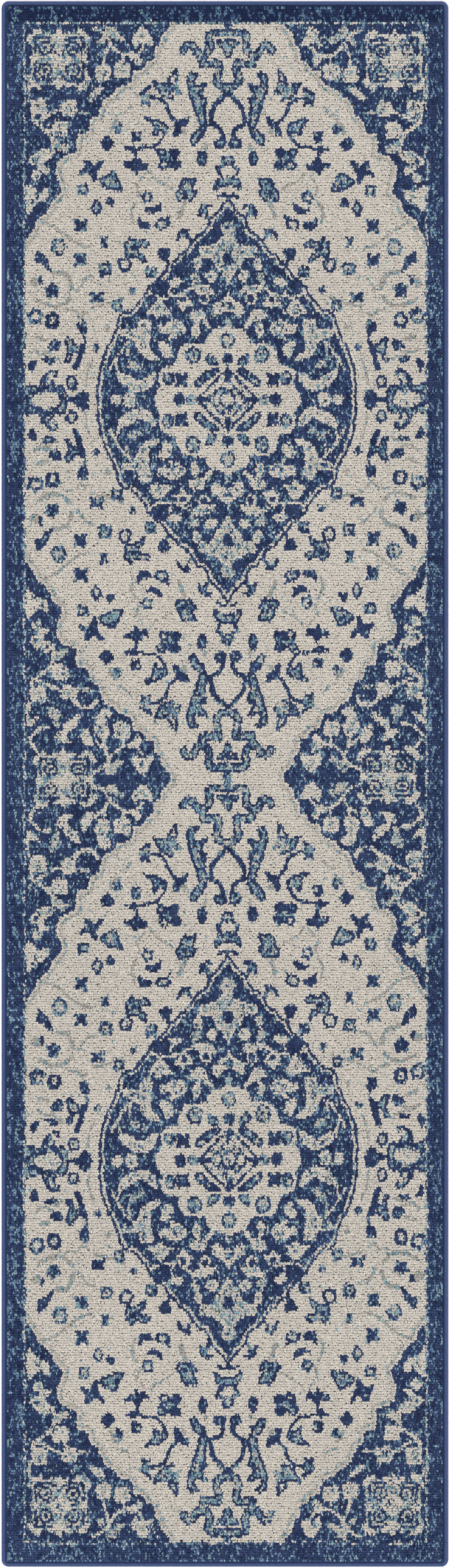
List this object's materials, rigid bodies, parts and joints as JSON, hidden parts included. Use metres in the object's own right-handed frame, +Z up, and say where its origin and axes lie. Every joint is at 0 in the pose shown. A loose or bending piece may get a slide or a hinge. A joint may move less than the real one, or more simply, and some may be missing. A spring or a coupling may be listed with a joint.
{
  "type": "runner rug",
  "caption": "Long narrow woven pile rug with serged edges, a navy border, stepped corners and two pointed medallions on an ivory field.",
  "frame": {"origin": "middle of the rug's underside, on the floor", "axes": "+X across the rug's width, +Y along its length towards the head end, +Z up out of the pile"},
  "size_m": [0.6529, 2.2858, 0.0095],
  "materials": {
    "latex_back": "matte",
    "jute_yarn": "matte",
    "warp_yarn": "matte",
    "serging_yarn": "satin",
    "seam_yarn": "matte",
    "navy_pile": "soft cut pile",
    "blue_pile": "soft cut pile",
    "aqua_pile": "soft cut pile",
    "ivory_pile": "soft cut pile"
  },
  "bodies": {
    "root": {"back_coating": "latex_back", "lower_weft": "jute_yarn", "upper_weft": "jute_yarn", "stuffer_warp": "warp_yarn", "chain_warp": "warp_yarn", "edge_cord_head": "warp_yarn", "edge_cord_foot": "warp_yarn", "edge_cord_left": "warp_yarn", "edge_cord_right": "warp_yarn", "serging_head": "serging_yarn", "serging_foot": "serging_yarn", "serging_left": "serging_yarn", "serging_right": "serging_yarn", "seam_thread": "seam_yarn", "pile_navy_border": "navy_pile", "pile_navy_corner_head_left": "navy_pile", "pile_navy_corner_head_right": "navy_pile", "pile_navy_corner_foot_left": "navy_pile", "pile_navy_corner_foot_right": "navy_pile", "pile_navy_side_left": "navy_pile", "pile_navy_side_right": "navy_pile", "pile_navy_medallion_head": "navy_pile", "pile_navy_medallion_foot": "navy_pile", "pile_ivory_guard_line": "ivory_pile", "pile_ivory_field": "ivory_pile", "pile_ivory_centre_head": "ivory_pile", "pile_ivory_centre_foot": "ivory_pile", "pile_aqua_rosettes": "aqua_pile", "pile_aqua_diamonds": "aqua_pile", "pile_blue_palmettes": "blue_pile", "pile_blue_cartouches": "blue_pile", "pile_blue_flowers": "blue_pile"}
  },
  "joints": []
}
